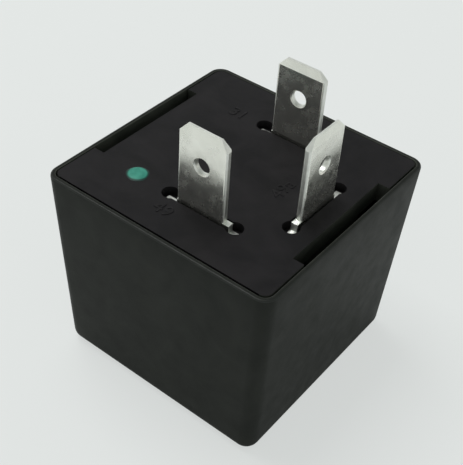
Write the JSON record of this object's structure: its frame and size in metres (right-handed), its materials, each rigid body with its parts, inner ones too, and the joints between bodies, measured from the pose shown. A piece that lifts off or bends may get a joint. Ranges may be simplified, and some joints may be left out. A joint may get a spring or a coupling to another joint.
{
  "type": "automotive relay",
  "caption": "Cube-shaped plug-in flasher relay with upright blade terminals on a snap-in base plate, a moulded cover and a hinged armature that switches the lamp contact.",
  "frame": {"origin": "centre of the closed end of the cover, the face the relay stands on", "axes": "+Z towards the blades, +X towards the cross blade, Y along the line through the two row blades"},
  "size_m": [0.0306, 0.0306, 0.0362],
  "materials": {
    "cover_plastic": "satin moulded nylon, black",
    "base_plastic": "fine matt moulded nylon, black",
    "dot_paint": "glossy teal-green paint",
    "tinned_brass": "tin-plated brass, satin bright",
    "plated_steel": "zinc-plated soft iron",
    "spring_steel": "drawn steel wire",
    "bobbin_plastic": "natural glass-filled nylon",
    "enamelled_copper": "enamelled copper wire",
    "bare_copper": "bare copper braid",
    "bronze": "phosphor bronze strip",
    "contact_silver": "silver contact metal",
    "rivet_steel": "plated rivets",
    "board_laminate": "paper laminate with copper tracks",
    "resistance_wire": "bare resistance wire",
    "chip_epoxy": "black epoxy",
    "tinned_lead": "tinned copper leads",
    "can_sleeve": "dark blue sleeve over an aluminium can",
    "seal_rubber": "black rubber",
    "resistor_lacquer": "beige lacquer",
    "diode_epoxy": "black epoxy with a pale band",
    "disc_lacquer": "ochre lacquer",
    "solder": "solder"
  },
  "bodies": {
    "housing": {"cover": "cover_plastic", "base_plate": "base_plastic", "coding_dot": "dot_paint", "terminal_49": "tinned_brass", "terminal_31": "tinned_brass", "terminal_49a": "tinned_brass", "yoke": "plated_steel", "core": "plated_steel", "bobbin": "bobbin_plastic", "winding": "enamelled_copper", "coil_leads": "enamelled_copper", "fixed_contact": "contact_silver", "return_spring": "spring_steel", "contact_braid": "bare_copper", "circuit_board": "board_laminate", "shunt_wire": "resistance_wire", "flasher_chip": "chip_epoxy", "flasher_chip_leads": "tinned_lead", "timing_capacitor": "can_sleeve", "timing_capacitor_seal": "seal_rubber", "timing_capacitor_leads": "tinned_lead", "timing_resistor": "resistor_lacquer", "timing_resistor_leads": "tinned_lead", "sensing_resistor": "resistor_lacquer", "sensing_resistor_leads": "tinned_lead", "supply_resistor": "resistor_lacquer", "supply_resistor_leads": "tinned_lead", "coil_diode": "diode_epoxy", "coil_diode_leads": "tinned_lead", "disc_capacitor": "disc_lacquer", "disc_capacitor_leads": "tinned_lead", "solder_joints": "solder"},
    "armature_group": {"armature": "plated_steel", "contact_spring": "bronze", "spring_rivets": "rivet_steel", "moving_contact": "contact_silver"}
  },
  "joints": [
    {"name": "armature_pivot", "type": "hinge", "parent": "housing", "child": "armature_group", "pos_m": [-0.0048, 0, 0.00585], "axis": [0, -1, 0], "range_deg": [0, 3.6], "stiffness_Nm_per_rad": 0.0006, "springref_deg": -28.65, "deforming": ["return_spring", "contact_braid"]}
  ]
}
